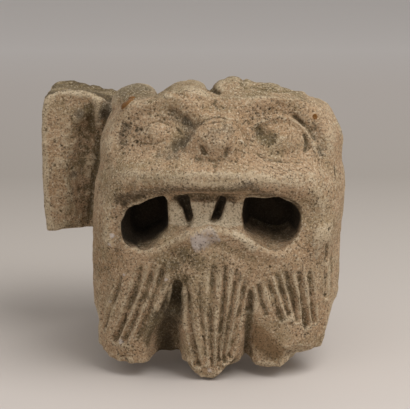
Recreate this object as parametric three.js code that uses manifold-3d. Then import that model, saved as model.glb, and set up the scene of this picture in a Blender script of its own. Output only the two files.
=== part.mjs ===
// A carved head corbel: a bearded grotesque with an open mouth and three teeth, cut with its tail
// from one block of limestone.
// Millimetres. X runs to the right as one faces the head, Y runs back into the wall and Z is up.
// The origin is the centre of the flat back of the tail, which is built into the wall.

import * as THREE from 'three';
import { mergeVertices } from 'three/addons/utils/BufferGeometryUtils.js';
import Module from 'manifold-3d';

// Driving dimensions

const headWidth = 167;
const headHeight = 199;
const headProjection = 112;        // from the muzzle back to the face of the tail
const cheekFall = 48;              // how far the cheeks turn back from the muzzle
const foreheadLean = 21;           // how far the brow sits behind the muzzle
const muzzleSet = 5.5;             // the plain face behind the lips' rolls

const tailWidth = 208;
const tailHeight = 103;
const tailDepth = 70;
const tailOverhang = 39;           // the tail past the left cheek
const tailSill = 77;               // the tail's underside above the beard's tip
const tailRoughness = 1.6;
const hollowEdge = 14;             // the dressed margin left of the rough hollow in the tail's face
const hollowDepth = 13;
const hollowHeight = 90;

const mouthRecess = 8;             // the teeth behind the lips
const holeDepth = 40;
const toothGapWidth = 6.5;
const toothGapDepth = 15;

const lipRoll = 7.5;
const chinRoll = 1.5;
const chinRise = 3;
const noseRise = 9;
const nostrilDepth = 3.5;
const browRise = 3.8;
const socketDepth = 5.5;
const eyeRise = 6;
const lidRise = 1.8;

const fluteDepth = 3.2;
const lockBulge = 4.5;
const lockGap = 22;                // how deep the beard is cut between its three locks
const beardThickness = 24;
const chipDepth = 7;               // the broken corner of the right lock

const hairRise = 7;
const foreheadLobe = 6.5;          // the left half of the forehead swells up into the hair
const hairBackFall = 16;
const templeLockSize = [17, 24, 12];
const templeLockTilt = THREE.MathUtils.degToRad(7);

const halfWidth = headWidth / 2;
const templeLockPlace = [-0.645 * halfWidth, 0.6 * headProjection, 0.9 * headHeight];
const backEdge = headProjection + hollowDepth + 7;      // the head runs on past the tail's hollow
const jawEnd = tailSill + 8;               // and its underside this far above the tail's
const finest = 0.02;                       // shorter edges are closed up

const stoneColour = 0xa8957b;

const smooth = THREE.MathUtils.smoothstep;
const lerp = THREE.MathUtils.lerp;

// A smooth line through [place, value] pairs, read at any place.
function profile(pairs) {
  const curve = new THREE.SplineCurve(pairs.map(([place, value]) => new THREE.Vector2(place, value)));
  const samples = curve.getPoints(pairs.length * 12);
  return (place) => {
    const next = samples.findIndex((sample) => sample.x >= place);
    if (next === 0) return samples[0].y;
    if (next < 0) return samples.at(-1).y;
    const [from, to] = [samples[next - 1], samples[next]];
    return lerp(from.y, to.y, (place - from.x) / (to.x - from.x));
  };
}

// Places on the face are shares: across is 1 at the right cheek, up is 1 at the crown.
function place([across, up]) {
  return new THREE.Vector2(across * halfWidth, up * headHeight);
}

// A rounded ridge along a line on the face. It reaches a share of the half width to each side.
function ridge(line, reach, rise) {
  const halfBreadth = reach * halfWidth;
  const samples = new THREE.SplineCurve(line.map(place)).getPoints(line.length * 6);
  return (x, z) => {
    const nearest = Math.min(...samples.map((sample) => Math.hypot(sample.x - x, sample.y - z)));
    const share = Math.min(nearest / halfBreadth, 1);
    return rise * Math.cos(share * Math.PI / 2) ** 1.5;
  };
}

// A dome on the face or, with a negative rise, a dished hollow. A low fullness gives it steep sides.
function dome(centre, reach, rise, fullness = 1) {
  const middle = place(centre);
  const radius = place(reach);
  return (x, z) => {
    const share = Math.min(Math.hypot((x - middle.x) / radius.x, (z - middle.y) / radius.y), 1);
    return rise * Math.cos(share * Math.PI / 2) ** fullness;
  };
}

// The head's silhouette and its upright profile, as shares of its height and half width

const leftEdge = profile([[0, 0.99], [0.2, 1], [0.45, 0.995], [0.62, 0.97], [0.71, 0.92],
  [0.79, 0.91], [0.83, 0.874], [0.87, 0.814], [0.91, 0.743], [0.935, 0.68], [1, 0.55]]);
const rightEdge = profile([[0, 0.995], [0.2, 1.02], [0.45, 1.03], [0.55, 1.05], [0.66, 1.055],
  [0.72, 1.03], [0.8, 1.035], [0.835, 1], [0.872, 0.945], [0.894, 0.9], [0.915, 0.82], [0.935, 0.75],
  [0.955, 0.7], [1, 0.58]]);
const uprightProfile = profile([[0, 0.55], [0.2, 0.28], [0.4, 0.13], [0.55, 0.07], [0.7, 0.1],
  [0.76, 0.3], [0.84, 0.6], [0.91, 0.83], [0.96, 1], [1, 1.1]]);

function sideAt(across, z) {
  const edge = across < 0 ? leftEdge : rightEdge;
  return halfWidth * edge(z / headHeight);
}

// The carving of the face

const upperLip = ridge([[-0.88, 0.49], [-0.86, 0.58], [-0.78, 0.66], [-0.6, 0.7], [-0.3, 0.71],
  [0, 0.7], [0.3, 0.7], [0.6, 0.69], [0.82, 0.64], [0.9, 0.56], [0.86, 0.48]], 0.19, lipRoll);
const lowerLip = ridge([[-0.86, 0.5], [-0.78, 0.45], [-0.62, 0.43], [-0.42, 0.44], [-0.23, 0.485],
  [-0.04, 0.52], [0.16, 0.485], [0.36, 0.44], [0.56, 0.42], [0.72, 0.44], [0.84, 0.5]], 0.12, chinRoll);
const chin = dome([-0.04, 0.5], [0.36, 0.11], chinRise);
const nose = dome([0.01, 0.825], [0.25, 0.085], noseRise, 0.6);
const nostrils = [-0.095, 0.085].map((across) => dome([across, 0.79], [0.06, 0.024], -nostrilDepth));
const lipNotch = dome([0, 0.755], [0.045, 0.04], -nostrilDepth / 2);

function eye(side, centre) {
  const [across, up] = centre;
  const ring = [];
  for (let turn = 0; turn <= 12; turn += 1) {
    const angle = turn / 12 * 2 * Math.PI;
    ring.push([across + 0.25 * Math.cos(angle), up + 0.078 * Math.sin(angle)]);
  }
  return [
    dome([across + side * 0.02, up - 0.005], [0.38, 0.12], -socketDepth),
    dome(centre, [0.205, 0.063], eyeRise, 0.7),
    ridge(ring, 0.066, lidRise),
  ];
}

function brow(side, drop) {
  return ridge([[side * 0.1, 0.89], [side * 0.3, 0.945], [side * 0.58, 0.945 - drop],
    [side * 0.8, 0.875 - drop], [side * 0.9, 0.79 - drop]], 0.13, browRise);
}

const carving = [upperLip, lowerLip, chin, nose, ...nostrils, lipNotch,
  ...eye(-1, [-0.46, 0.832]), ...eye(1, [0.53, 0.812]), brow(-1, 0.015), brow(1, 0)];

// The open mouth: two holes beside three teeth, with a narrow gap between each two teeth. The teeth
// are sunk behind the lips.
const holeTop = 0.63 * headHeight;
const holeFoot = 0.465 * headHeight;
const leftHole = { inner: -0.365 * halfWidth, outer: -0.695 * halfWidth };
const rightHole = { inner: 0.22 * halfWidth, outer: 0.665 * halfWidth };
const toothGapFoot = 0.545 * headHeight;
const toothGaps = [
  { top: -0.245 * halfWidth, foot: -0.195 * halfWidth },
  { top: 0.067 * halfWidth, foot: 0.003 * halfWidth },
];
const mouthCentre = 0.5 * (leftHole.outer + rightHole.outer);
const mouthReach = 0.5 * (rightHole.outer - leftHole.outer) - toothGapWidth;
const lipFoot = profile([[-0.8, 0.56], [-0.66, 0.5], [-0.5, 0.485], [-0.36, 0.51], [-0.22, 0.53],
  [-0.06, 0.548], [0.08, 0.54], [0.22, 0.52], [0.4, 0.485], [0.55, 0.48], [0.7, 0.52]]);

function mouth(x, z) {
  const foot = lipFoot(x / halfWidth) * headHeight;
  const head = holeTop + 4 - 6 * ((x - mouthCentre) / mouthReach) ** 2;
  const ends = 1 - smooth(Math.abs(x - mouthCentre), mouthReach - 8, mouthReach);
  return -mouthRecess * ends * smooth(z, foot - 2, foot + 2) * (1 - smooth(z, head - 3, head + 3));
}

function relief(x, z) {
  const rise = carving.reduce((sum, feature) => sum + feature(x, z), 0);
  return rise + mouth(x, z);
}

// The columns of the head's skin, from the back of the left side round to the back of the right.
// Each has its share across the face at the lip line and at the foot of the beard.

const cheekTurn = THREE.MathUtils.degToRad(65.5);
const wallSteps = 4;

// The three locks of the beard and the gaps between them: edges as shares of the half width, heights
// of the ends above the tip as shares of the head's height.
const locks = [
  { flutes: 5, top: [-0.91, -0.32], foot: [-0.985, -0.49], ends: [0.08, 0.042, 0.042, 0.05] },
  { gap: 4, top: [-0.31, -0.295], foot: [-0.47, -0.27], ends: [0.055, 0.055] },
  { flutes: 7, top: [-0.285, 0.26], foot: [-0.25, 0.215], ends: [0.04, 0, 0.002, 0.045] },
  { gap: 2, top: [0.27, 0.28], foot: [0.235, 0.275], ends: [0.055, 0.055] },
  { flutes: 5, top: [0.29, 0.91], foot: [0.295, 0.885], ends: [0.035, 0.028, 0.07, 0.08], chip: 0.42 },
];

function wallColumns(side) {
  const columns = [];
  for (let step = 0; step < wallSteps; step += 1) {
    const share = step / wallSteps;
    columns.push({ top: side, foot: side, end: jawEnd / headHeight, back: 1 - share });
  }
  return side < 0 ? columns : columns.reverse();
}

// The cheek's turn into the side, with two flutes of hair that end above the beard.
function cornerColumns(side, lowEnd, highEnd) {
  const columns = [];
  const steps = 5;
  for (let step = 0; step < steps; step += 1) {
    const share = step / steps;
    const across = side * Math.sin(lerp(Math.PI / 2, cheekTurn, share));
    const groove = step % 2 === 1 ? 0.6 : 0;
    columns.push({ top: across, foot: across, end: lerp(highEnd, lowEnd, share), groove });
  }
  return side < 0 ? columns : columns.reverse();
}

function lockColumns(lock) {
  const columns = [];
  const steps = lock.gap ?? lock.flutes * 3;
  const endLine = profile(lock.ends.map((end, index) => [index / (lock.ends.length - 1), end]));
  for (let step = 0; step < steps; step += 1) {
    const share = (step + 0.5) / steps;
    columns.push({
      top: lerp(...lock.top, share),
      foot: lerp(...lock.foot, share),
      end: endLine(share),
      groove: lock.flutes && step % 3 === 1 ? 1 : 0,
      bulge: lock.flutes ? Math.sin(share * Math.PI) ** 0.7 : 0,
      gap: lock.gap ? 1 : 0,
      chip: lock.chip ? 1 - smooth(share, 0, lock.chip) : 0,
    });
  }
  return columns;
}

const columns = [
  ...wallColumns(-1), ...cornerColumns(-1, 0.17, 0.225),
  ...locks.flatMap(lockColumns),
  ...cornerColumns(1, 0.22, 0.235), ...wallColumns(1),
];

// The skin's rows, from the middle of the jaw's underside, over the beard, the face and the crown

const underSteps = [0.92, 0.6, 0.3, 0.12];
const beardRows = 9;
const faceRows = 34;
const crownSteps = [0.06, 0.14, 0.26, 0.42, 0.6, 0.78, 0.92];

const lipLine = (across) => headHeight * (0.4 - 0.025 * across);
const lobe = (off, half) => Math.cos(Math.min(Math.abs(off) / half, 1) * Math.PI / 2) ** 0.7;
const browLine = (across) => headHeight * (0.95 + 0.01 * across - 0.02 * across ** 4)
  + foreheadLobe * lobe(across + 0.36, 0.31);
const crownFall = (y) => hairBackFall * smooth(y, foreheadLean, headProjection) ** 2;

// Where a column's skin lies at a height, before it is carved.
function skinPoint(column, share, z) {
  const side = sideAt(share, z);
  const turn = 1 - Math.sqrt(Math.max(0, 1 - share ** 2));
  const fall = cheekFall * turn ** 1.25 * (side / halfWidth) ** 1.5;
  const front = muzzleSet + foreheadLean * uprightProfile(z / headHeight) * (1 - 0.6 * share ** 4) + fall;
  const y = lerp(front, backEdge, column.back ?? 0);
  return new THREE.Vector3(share * side, y, z);
}

// The side walls have no beard: their own line between the rows lies higher towards the back.
function lineOf({ top, back }) {
  return back ? lerp(lipLine(top), Math.max(lipLine(top), jawEnd) + 15, back) : lipLine(top);
}

function beardPoint(column, climb) {
  const foot = (column.back ? lerp(column.end, 0.225, (1 - column.back) ** 2) : column.end) * headHeight;
  const z = lerp(foot, lineOf(column), climb);
  const point = skinPoint(column, lerp(column.foot, column.top, climb), z);
  const chip = (column.chip ?? 0) * (1 - smooth(climb, 0.15, 0.55));
  point.y += fluteDepth * (column.groove ?? 0) * (1 - smooth(climb, 0.7, 1)) * (1 - chip);
  point.y -= lockBulge * (column.bulge ?? 0) * (1 - 0.5 * smooth(climb, 0.6, 1));
  point.y += lockGap * (column.gap ?? 0) * (1 - smooth(climb, 0, 0.75));
  point.y += chipDepth * chip;
  return point;
}

function facePoint(column, climb) {
  const brow = browLine(column.top) - crownFall(lerp(cheekFall, backEdge, column.back ?? 0));
  const z = lerp(lineOf(column), column.back ? brow : browLine(column.top), climb);
  const point = skinPoint(column, column.top, z);
  const reach = 1 - smooth(Math.abs(column.top), 0.93, 1);
  if (!column.back) point.y -= relief(point.x, z) * reach;
  point.y -= 0.5 * lockBulge * (column.bulge ?? 0) * (1 - smooth(climb, 0, 0.15));
  return point;
}

// Under the jaw the stone rises to the tail.
function underPoint(column, sweep) {
  const foot = beardPoint(column, 0);
  const end = headProjection + 0.5 * (backEdge - headProjection);
  const start = Math.min(foot.y + beardThickness * smooth(sweep, 0, 0.3), end);
  const y = foot.y < end ? lerp(start, end, sweep) : foot.y;
  const x = foot.x * (1 - 0.12 * sweep);
  return new THREE.Vector3(x, y, lerp(foot.z, jawEnd, smooth(sweep, 0.05, 1)));
}

// Locks of hair run back over the crown from behind the brow.
const hairLocks = [
  { middle: -0.24, half: 0.17, rise: 0.15 }, { middle: 0.14, half: 0.175, rise: 1.2 },
  { middle: 0.42, half: 0.2, rise: 0.6 }, { middle: 0.7, half: 0.08, rise: 0.2 },
];

function crownPoint(column, sweep) {
  const edge = facePoint(column, 1);
  const y = edge.y < headProjection ? lerp(edge.y, headProjection, sweep) : edge.y;
  const x = edge.x * (1 - 0.06 * sweep);
  const across = x / halfWidth;
  const lift = hairLocks.reduce((sum, { middle, half, rise }) => {
    return sum + rise * lobe(across - middle, half);
  }, 0.25 * (1 - across ** 2));
  const rise = hairRise * lift * smooth(sweep, 0.06, 0.26) * (1 - 0.7 * smooth(sweep, 0.4, 1));
  const crease = across > 0 ? 1.8 * (1 - smooth(Math.abs(sweep - 0.06), 0, 0.08)) : 0;
  const level = column.back ? edge.z + crownFall(edge.y) : edge.z + rise - crease;
  return new THREE.Vector3(x, y, level - crownFall(y));
}

// Solids: a skin of rings, closed at both ends by a fan

function loft(rings) {
  const count = rings[0].length;
  const points = rings.flat();
  const faces = [];
  for (let row = 0; row < rings.length - 1; row += 1) {
    for (let step = 0; step < count; step += 1) {
      const [here, beside] = [row * count + step, row * count + (step + 1) % count];
      faces.push([here, beside, beside + count], [here, beside + count, here + count]);
    }
  }
  [0, rings.length - 1].forEach((row) => {
    points.push(new THREE.Box3().setFromPoints(rings[row]).getCenter(new THREE.Vector3()));
    for (let step = 0; step < count; step += 1) {
      const [here, beside] = [row * count + step, row * count + (step + 1) % count];
      faces.push(row === 0 ? [points.length - 1, beside, here] : [points.length - 1, here, beside]);
    }
  });
  return { points, faces };
}

const manifold = await Module();
manifold.setup();

// Faces are turned to point outwards, whichever way the rings run.
function solid({ points, faces }) {
  const volume = faces.reduce((sum, [a, b, c]) => (
    sum + points[a].dot(new THREE.Vector3().crossVectors(points[b], points[c]))
  ), 0);
  const outward = volume > 0 ? faces : faces.map(([a, b, c]) => [a, c, b]);
  const mesh = new manifold.Mesh({
    numProp: 3,
    vertProperties: new Float32Array(points.flatMap((point) => point.toArray())),
    triVerts: new Uint32Array(outward.flat()),
  });
  return new manifold.Manifold(mesh);
}

function headSolid() {
  const rows = [
    ...underSteps.map((sweep) => columns.map((column) => underPoint(column, sweep))),
  ];
  for (let row = 0; row < beardRows; row += 1) {
    rows.push(columns.map((column) => beardPoint(column, row / beardRows)));
  }
  for (let row = 0; row <= faceRows; row += 1) {
    rows.push(columns.map((column) => facePoint(column, row / faceRows)));
  }
  crownSteps.forEach((sweep) => rows.push(columns.map((column) => crownPoint(column, sweep))));
  return solid(loft(rows));
}

// The tail: square cut below and behind, roughly dressed on its face, ends and top.

const tailLeft = -halfWidth - tailOverhang;
const tailRight = tailLeft + tailWidth;
const tailTop = tailSill + tailHeight;
const tailBack = headProjection + tailDepth;

// Its broken top falls from the left end towards the right, sooner at the back. Its left end bulges.
const frontCrest = profile([[0, 0.98], [0.02, 1.01], [0.06, 1.02], [0.13, 1.01], [0.18, 0.98],
  [0.22, 0.93], [0.3, 0.88], [0.6, 0.87], [0.85, 0.82], [0.95, 0.72], [1, 0.66]]);
const backCrest = profile([[0, 0.975], [0.02, 1], [0.06, 0.995], [0.1, 0.975], [0.14, 0.925],
  [0.18, 0.885], [0.22, 0.875], [0.6, 0.87], [0.85, 0.82], [0.95, 0.72], [1, 0.66]]);
const endBulge = profile([[0, -1.5], [0.12, 0], [0.3, 0.9], [0.6, 1.1], [0.85, 0.3], [0.94, -0.7], [1, -2]]);

function tailSolid() {
  const levels = 8;
  const faceSteps = 16;
  const rings = [];
  for (let level = 0; level <= levels; level += 1) {
    const climb = level / levels;
    const height = (crest, share) => lerp(tailSill, tailSill + tailHeight * crest(share), climb);
    const dressed = (x) => tailRoughness * Math.sin(x * 0.19 + level * 1.7) * Math.cos(x * 0.07 - level);
    const ring = [];
    for (let step = 0; step <= faceSteps; step += 1) {
      const share = step / faceSteps;
      const x = lerp(tailLeft, tailRight, share);
      const end = step === 0 ? endBulge(climb) : 0;
      ring.push(new THREE.Vector3(x - end, headProjection + dressed(x), height(frontCrest, share)));
    }
    for (let step = faceSteps; step >= 0; step -= 1) {
      const share = step / faceSteps;
      const x = lerp(tailLeft, tailRight, share) + (step === 0 ? tailRoughness : 0);
      ring.push(new THREE.Vector3(x, tailBack, height(backCrest, share)));
    }
    rings.push(ring);
  }
  return solid(loft(rings));
}

// The rough hollow in the tail's face, open below, between the cheek and the tail's left edge.
// Each step has its height, how far it spreads to the left and how deep it is, as shares.
const hollowSteps = [[-0.05, 1, 0.9], [0.15, 0.97, 1], [0.3, 1, 1.05], [0.45, 1.06, 0.95],
  [0.66, 1.05, 1], [0.8, 0.98, 0.85], [0.9, 0.8, 0.6], [0.97, 0.55, 0.3]];

function hollowTool() {
  const outer = tailLeft + hollowEdge;
  const inner = -halfWidth + 12;
  const rings = hollowSteps.map(([up, spread, sunk]) => {
    const z = tailSill + hollowHeight * up;
    const floor = headProjection + hollowDepth * sunk;
    return [[inner, -10], [inner, 1], [lerp(inner, outer, 0.6 * spread), 1],
      [lerp(inner, outer, spread), -0.5 * hollowDepth * sunk]]
      .map(([x, back]) => new THREE.Vector3(x, back > 0 ? floor : headProjection + back, z));
  });
  return solid(loft(rings));
}

// A tunnel into the stone along Y: the outline at the face, drawn in a little at the end.
function tunnel(outline, start, end, narrowing) {
  const middle = outline.reduce((sum, point) => sum.add(point), new THREE.Vector2());
  middle.divideScalar(outline.length);
  const rings = [[start, 1], [lerp(start, end, 0.7), 1], [end, narrowing]].map(([y, size]) => (
    outline.map((point) => {
      const drawn = middle.clone().lerp(point, size);
      return new THREE.Vector3(drawn.x, y, drawn.y);
    })
  ));
  return solid(loft(rings));
}

// The mouth's corners are rounded openings, higher at the teeth and lowest in their middle.
function mouthHole({ inner, outer }) {
  const across = (share) => lerp(inner, outer, share);
  const up = (share) => lerp(holeFoot, holeTop, share);
  const corners = [[0, 0.78], [0.06, 0.97], [0.4, 0.99], [0.8, 0.86], [0.99, 0.66], [1, 0.25],
    [0.84, 0.03], [0.55, 0], [0.24, 0.14], [0.02, 0.3]];
  const line = new THREE.CatmullRomCurve3(
    corners.map(([a, b]) => new THREE.Vector3(across(a), up(b), 0)), true);
  const outline = line.getPoints(20).slice(0, -1).map(({ x, y }) => new THREE.Vector2(x, y));
  return tunnel(outline, -30, mouthRecess + holeDepth, 0.75);
}

function toothGap({ top, foot }) {
  const half = toothGapWidth / 2;
  const outline = [[foot - half, toothGapFoot], [foot + half, toothGapFoot],
    [top + half, holeTop], [top - half, holeTop]].map(([x, z]) => new THREE.Vector2(x, z));
  return tunnel(outline, 2, mouthRecess + toothGapDepth, 0.6);
}

// A lock of hair behind the left temple, half sunk in the stone
function templeLock() {
  const ball = new THREE.SphereGeometry(1, 20, 14);
  ball.deleteAttribute('normal');
  ball.deleteAttribute('uv');
  ball.scale(...templeLockSize).rotateY(-templeLockTilt).translate(...templeLockPlace);
  const { attributes, index } = mergeVertices(ball, finest);
  const mesh = new manifold.Mesh({
    numProp: 3,
    vertProperties: attributes.position.array,
    triVerts: new Uint32Array(index.array),
  });
  return new manifold.Manifold(mesh);
}

function corbelSolid() {
  const tail = tailSolid().subtract(hollowTool());
  const stone = headSolid().add(tail).add(templeLock());
  const cuts = [mouthHole(leftHole), mouthHole(rightHole), ...toothGaps.map(toothGap)];
  return cuts.reduce((left, cut) => left.subtract(cut), stone).simplify(finest);
}

function meshFrom(stone, name, material) {
  const { vertProperties, triVerts } = stone.getMesh();
  const geometry = new THREE.BufferGeometry();
  geometry.setAttribute('position', new THREE.BufferAttribute(vertProperties, 3));
  geometry.setIndex(new THREE.BufferAttribute(triVerts, 1));
  geometry.computeVertexNormals();
  const mesh = new THREE.Mesh(geometry, material);
  mesh.name = name;
  return mesh;
}

const limestone = new THREE.MeshStandardMaterial({ color: stoneColour, roughness: 0.95, metalness: 0 });
const corbel = new THREE.Group();
corbel.add(meshFrom(corbelSolid(), 'carved_corbel', limestone));
corbel.position.set(-0.5 * (tailLeft + tailRight), -tailBack, -0.5 * (tailSill + tailTop));

export default corbel;
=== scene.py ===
import math
import random

import bpy
import numpy as np
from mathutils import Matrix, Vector, noise
from mathutils.bvhtree import BVHTree
from mathutils.kdtree import KDTree


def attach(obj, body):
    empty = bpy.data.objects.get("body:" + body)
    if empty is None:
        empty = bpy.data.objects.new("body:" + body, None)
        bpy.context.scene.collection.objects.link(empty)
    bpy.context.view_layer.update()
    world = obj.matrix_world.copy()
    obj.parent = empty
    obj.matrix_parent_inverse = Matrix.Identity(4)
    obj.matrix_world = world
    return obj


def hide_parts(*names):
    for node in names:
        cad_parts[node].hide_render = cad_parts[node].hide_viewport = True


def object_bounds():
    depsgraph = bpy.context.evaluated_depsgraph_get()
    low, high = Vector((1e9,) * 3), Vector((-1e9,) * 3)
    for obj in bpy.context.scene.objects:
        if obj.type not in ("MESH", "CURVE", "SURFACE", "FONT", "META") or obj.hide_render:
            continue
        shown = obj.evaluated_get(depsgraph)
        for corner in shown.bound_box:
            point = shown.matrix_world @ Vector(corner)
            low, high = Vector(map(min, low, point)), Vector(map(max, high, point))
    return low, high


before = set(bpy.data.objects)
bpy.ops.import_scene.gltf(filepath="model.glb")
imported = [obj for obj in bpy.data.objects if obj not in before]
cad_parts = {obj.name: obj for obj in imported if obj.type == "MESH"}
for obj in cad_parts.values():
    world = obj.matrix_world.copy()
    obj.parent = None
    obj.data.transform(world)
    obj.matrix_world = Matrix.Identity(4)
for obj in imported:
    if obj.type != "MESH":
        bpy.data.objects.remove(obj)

# A bearded grotesque head, carved with its tail from one block of limestone.
# The scene is in metres. Places on the stone are in millimetres, measured as a carver would:
# x to the right of the nose, y back from the muzzle and z up from the beard's tip.

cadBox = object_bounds()
millimetre = 0.001
stoneZero = np.array([18.5, -182.0, -128.5])  # the carver's zero, from the middle of the tail's back
scene = bpy.context.scene


def deselectAll():
    if bpy.context.object and bpy.context.object.mode != "OBJECT":
        bpy.ops.object.mode_set(mode="OBJECT")
    bpy.ops.object.select_all(action="DESELECT")


def makeActive(thing):
    deselectAll()
    thing.select_set(True)
    bpy.context.view_layer.objects.active = thing


def toLinear(hexColour):
    parts = [int(hexColour[start:start + 2], 16) / 255 for start in (0, 2, 4)]
    linear = [part / 12.92 if part <= 0.04045 else ((part + 0.055) / 1.055) ** 2.4 for part in parts]
    return (*linear, 1.0)


# Camera, floor and light

view = {
    "lookAt": (0.012, -0.182, -0.0055),  # the top of the beard, at the front of the muzzle
    "distance": 0.9,
    "elevation": 13.0,  # degrees above level
    "lens": 123.5,  # mm, on a sensor of 36 mm
}

studio = {
    "floorSize": 14.0,
    # painted light and shade on the floor: its tone, front to back, is darker in the middle distance and
    # lighter far off
    "floorTones": ((0.0, "cac1ba"), (0.22, "bab2aa"), (0.4, "aaa29a"), (0.75, "c3bbb5"), (1.0, "d3cdc9")),
    "world": "d8d6d4",
    "worldStrength": 0.7,
    "keyPlace": (0.68, -0.55, 1.25),
    "keySize": 1.1,
    "keyPower": 19.5,
    "fillPlace": (-0.9, -0.9, 0.55),
    "fillSize": 0.9,
    "fillPower": 1.5,
}


def addCamera():
    rise = math.radians(view["elevation"])
    lookAt = Vector(view["lookAt"])
    place = lookAt + view["distance"] * Vector((0.0, -math.cos(rise), math.sin(rise)))
    bpy.ops.object.camera_add(location=place)
    camera = bpy.context.object
    camera.rotation_euler = (lookAt - place).to_track_quat("-Z", "Y").to_euler()
    camera.data.sensor_width = 36.0
    camera.data.lens = view["lens"]
    camera.data.clip_end = 60.0
    scene.camera = camera


def addAreaLight(name, place, size, power):
    bpy.ops.object.light_add(type="AREA", location=place)
    lamp = bpy.context.object
    lamp.name = name
    lamp.data.size = size
    lamp.data.energy = power
    lamp.rotation_euler = (Vector((0.0, -0.1, -0.03)) - Vector(place)).to_track_quat("-Z", "Y").to_euler()


def addNode(material, kind, place=(0, 0), settings=None, inputs=None):
    # settings are the node's own properties, inputs its sockets: a value, or another node's output
    node = material.node_tree.nodes.new(kind)
    node.location = place
    for name, value in (settings or {}).items():
        setattr(node, name, value)
    for name, value in (inputs or {}).items():
        if isinstance(value, bpy.types.NodeSocket):
            material.node_tree.links.new(value, node.inputs[name])
        else:
            node.inputs[name].default_value = value
    return node


def addStudio():
    deselectAll()
    addCamera()
    floorLevel = cadBox[0][2] - 0.0003
    bpy.ops.mesh.primitive_plane_add(size=studio["floorSize"], location=(0.0, 0.0, floorLevel))
    floor = bpy.context.object
    floor.name = "studio_floor"
    paper = bpy.data.materials.new("studio_paper")
    paper.use_nodes = True
    shader = paper.node_tree.nodes["Principled BSDF"]
    shader.inputs["Roughness"].default_value = 0.9
    place = addNode(paper, "ShaderNodeTexCoord", (-800, 0))
    parts = addNode(paper, "ShaderNodeSeparateXYZ", (-600, 0), inputs={"Vector": place.outputs["Object"]})
    depth = addNode(paper, "ShaderNodeMapRange", (-400, 0), inputs={
        "Value": parts.outputs["Y"], "From Min": -0.3, "From Max": 1.7})
    tone = addNode(paper, "ShaderNodeValToRGB", (-200, 0), inputs={"Fac": depth.outputs["Result"]})
    ramp = tone.color_ramp.elements
    while len(ramp) < len(studio["floorTones"]):
        ramp.new(0.5)
    for stop, (share, colour) in zip(ramp, studio["floorTones"]):
        stop.position = share
        stop.color = toLinear(colour)
    paper.node_tree.links.new(tone.outputs["Color"], shader.inputs["Base Color"])
    floor.data.materials.append(paper)
    addAreaLight("key_light", studio["keyPlace"], studio["keySize"], studio["keyPower"])
    addAreaLight("fill_light", studio["fillPlace"], studio["fillSize"], studio["fillPower"])
    world = bpy.data.worlds.new("studio_air")
    world.use_nodes = True
    background = world.node_tree.nodes["Background"]
    background.inputs["Color"].default_value = toLinear(studio["world"])
    background.inputs["Strength"].default_value = studio["worldStrength"]
    scene.world = world
    scene.view_settings.view_transform = "Standard"
    print("studio ready")


# The roughed-out stone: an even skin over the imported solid, coarser where it faces away from the
# front and finer where the carving is

block = {
    "node": "carved_corbel",
    "voxel": 0.0016,
    "awayBelow": 0.02,  # how far a face turns to the front before it counts as hidden
    "awayShare": 0.16,
    "toFront": (0.0, -0.974, 0.225),
    "fineAbove": 0.12,  # how far a face in a fine zone turns to the front before it is divided
    "fineZones": [
        ((-77, -5, 3), (75, 36, 86)),
        ((-67, -5, 86), (64, 21, 133)),
        ((-65, -5, 144), (74, 55, 188)),
    ],
}


def roughOut():
    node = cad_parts[block["node"]]
    mesh = node.data.copy()
    mesh.materials.clear()
    stone = bpy.data.objects.new("carved_head", mesh)
    scene.collection.objects.link(stone)
    makeActive(stone)
    bpy.ops.object.mode_set(mode="EDIT")
    bpy.ops.mesh.select_all(action="SELECT")
    bpy.ops.mesh.remove_doubles(threshold=0.00002)
    bpy.ops.object.mode_set(mode="OBJECT")
    even = stone.modifiers.new("even skin", "REMESH")
    even.mode = "VOXEL"
    even.voxel_size = block["voxel"]
    bpy.ops.object.modifier_apply(modifier=even.name)
    readSkin(stone)
    wearFacets()
    for pull in pulls:
        drag(**pull)
    writeSkin(stone)
    thinAndRefine(stone)
    bpy.ops.object.shade_smooth()
    faces = len(stone.data.polygons)
    corners = sum(len(face.vertices) for face in stone.data.polygons)
    print("roughed out:", len(stone.data.vertices), "points,", corners - 2 * faces, "triangles")
    return stone


# the edges of the mouth's holes and of the locks, pulled to their worn outlines
pulls = [
    {"place": (-58, 21, 102), "reach": (12, 15, 17), "move": (-3.4, -1.0, 0)},
    {"place": (-56, 19, 95), "reach": (9, 13, 9), "move": (-2.2, -0.5, -1.6)},
    {"place": (-46, 15, 92), "reach": (18, 17, 10), "move": (0, 0, -4.0)},
    {"place": (-47, 14, 123), "reach": (18, 15, 9), "move": (0, -0.5, -3.0)},
    {"place": (31, 12, 126), "reach": (15, 14, 8), "move": (0, 0, -1.8)},
    {"place": (54, 14, 117), "reach": (9, 14, 9), "move": (1.8, 0, 2.4)},
    {"place": (34, 13, 94), "reach": (20, 15, 10), "move": (0, 0, -4.2)},
    {"place": (-24.5, 19, 122), "reach": (5, 9, 11), "move": (-3.2, 0, 0)},
    {"place": (-17.5, 15, 107), "reach": (5, 8, 6), "move": (0.8, 0, -3.2)},
    {"place": (-2, 15, 109.5), "reach": (5, 8, 6), "move": (-2.2, 0, -2.6)},
    {"place": (-36, 16, 22), "reach": (13, 24, 24), "move": (-7.5, 1.0, 0)},
    {"place": (-18, 16, 20), "reach": (8, 18, 18), "move": (2.6, 0, 0)},
    {"place": (-27, 60, 12), "reach": (14, 20, 10), "move": (0, 0, -3.0)},
    {"place": (18, 14, 16), "reach": (7, 16, 14), "move": (-2.4, 0, 0)},
    {"place": (25, 14, 54), "reach": (5, 16, 14), "move": (-3.0, 0, 0)},
    {"place": (-25, 12, 55), "reach": (6, 15, 17), "move": (0, 8.0, 7.0)},
]


def drag(place, reach, move):
    gap = np.linalg.norm((skin["points"] - place) / np.array(reach, float), axis=1)
    share = np.cos(np.minimum(gap, 1.0) * math.pi / 2) ** 2
    skin["points"] += share[:, None] * np.array(move, float)


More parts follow.
